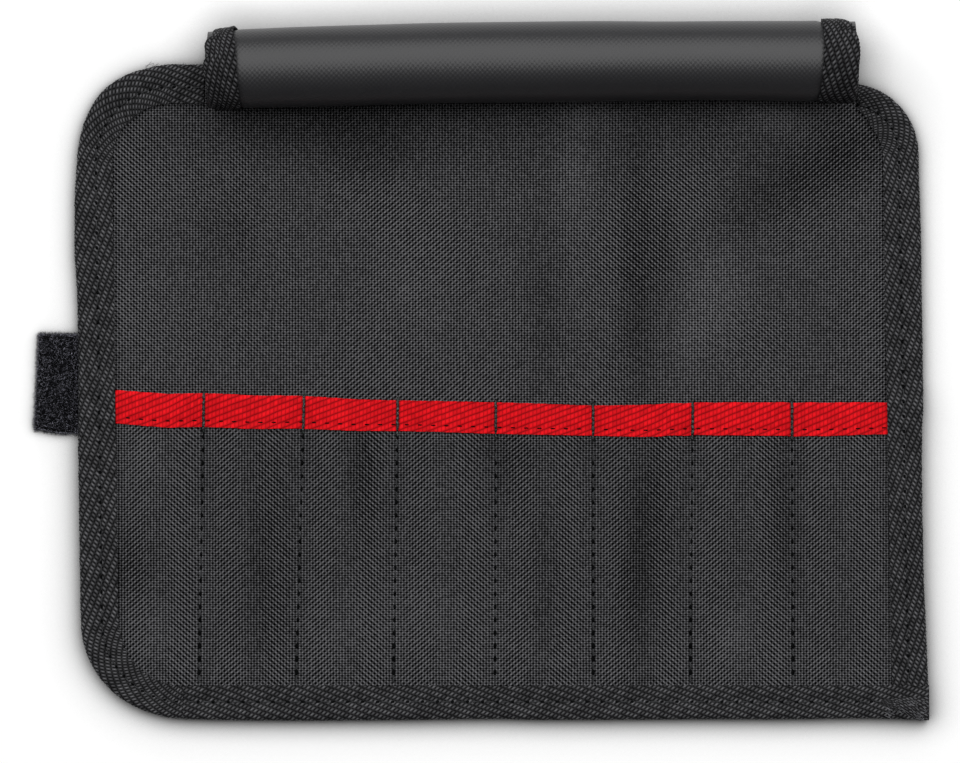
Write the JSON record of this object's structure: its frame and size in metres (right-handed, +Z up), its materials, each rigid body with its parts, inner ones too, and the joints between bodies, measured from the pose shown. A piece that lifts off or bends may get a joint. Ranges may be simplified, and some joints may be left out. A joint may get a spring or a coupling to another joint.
{
  "type": "tool roll",
  "caption": "Open fabric tool roll with a row of stitched tool pockets under a red ribbon, taped edges, a rolled-up flap and a loop tab.",
  "frame": {"origin": "middle of the open roll's floor area, on the surface that it lies on", "axes": "+X to the right along the pocket row, +Y up the sheet towards the rolled flap, +Z up from the surface"},
  "size_m": [0.264, 0.2056, 0.0245],
  "materials": {
    "woven_cloth": "plain-woven charcoal polyester, matt",
    "coated_cloth": "coated outer face of the same cloth, satin",
    "binding_tape": "black twill tape, folded over the edge",
    "red_ribbon": "red twill ribbon",
    "loop_pile": "brushed loop pile, blue-black",
    "hook_strip": "woven hook strip, black"
  },
  "bodies": {
    "root": {"back_panel": "woven_cloth", "pocket_panel": "woven_cloth", "pocket_ribbon": "red_ribbon", "bottom_binding": "binding_tape", "left_binding": "binding_tape", "right_binding": "binding_tape", "rolled_flap": "coated_cloth", "flap_binding_left": "binding_tape", "flap_binding_right": "binding_tape", "loop_tab": "loop_pile", "hook_patch": "hook_strip"}
  },
  "joints": []
}
